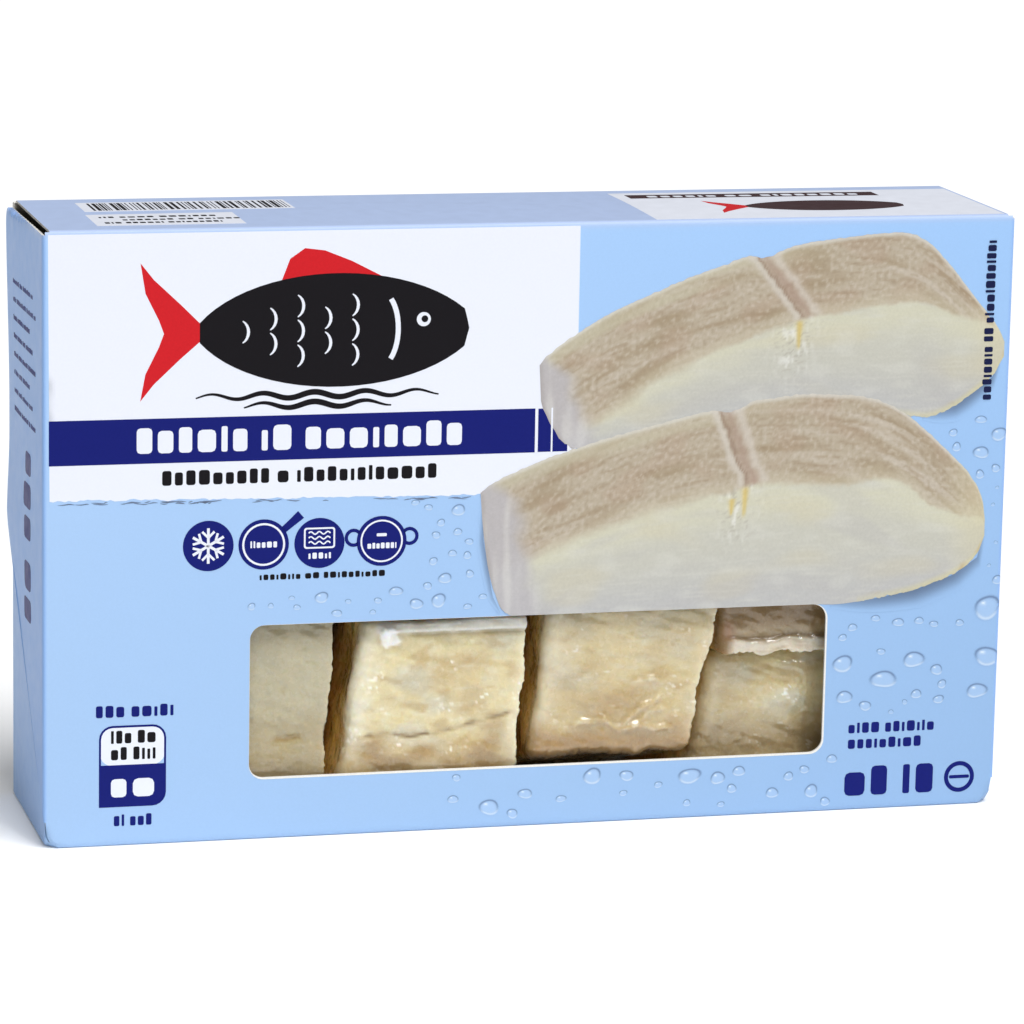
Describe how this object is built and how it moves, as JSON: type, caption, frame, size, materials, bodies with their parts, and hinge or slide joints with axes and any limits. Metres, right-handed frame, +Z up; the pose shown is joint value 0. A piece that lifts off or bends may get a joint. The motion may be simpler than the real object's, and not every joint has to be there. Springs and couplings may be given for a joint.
{
  "type": "windowed carton of frozen cod loins",
  "caption": "Upright folding carton with a window in its front panel, through which frozen salt-cured cod loins show.",
  "frame": {"origin": "on the floor under the middle of the carton", "axes": "+Z up, -Y out of the front panel that has the window, +X along the carton's length to the right as the front is seen"},
  "size_m": [0.29, 0.064, 0.18],
  "materials": {
    "board": "coated folding boxboard with a light blue print",
    "cod": "cream fish flesh under a thin glaze of ice"
  },
  "bodies": {
    "root": {"carton": "board", "cod_1": "cod", "cod_2": "cod", "cod_3": "cod", "cod_4": "cod", "cod_5": "cod"}
  },
  "joints": []
}
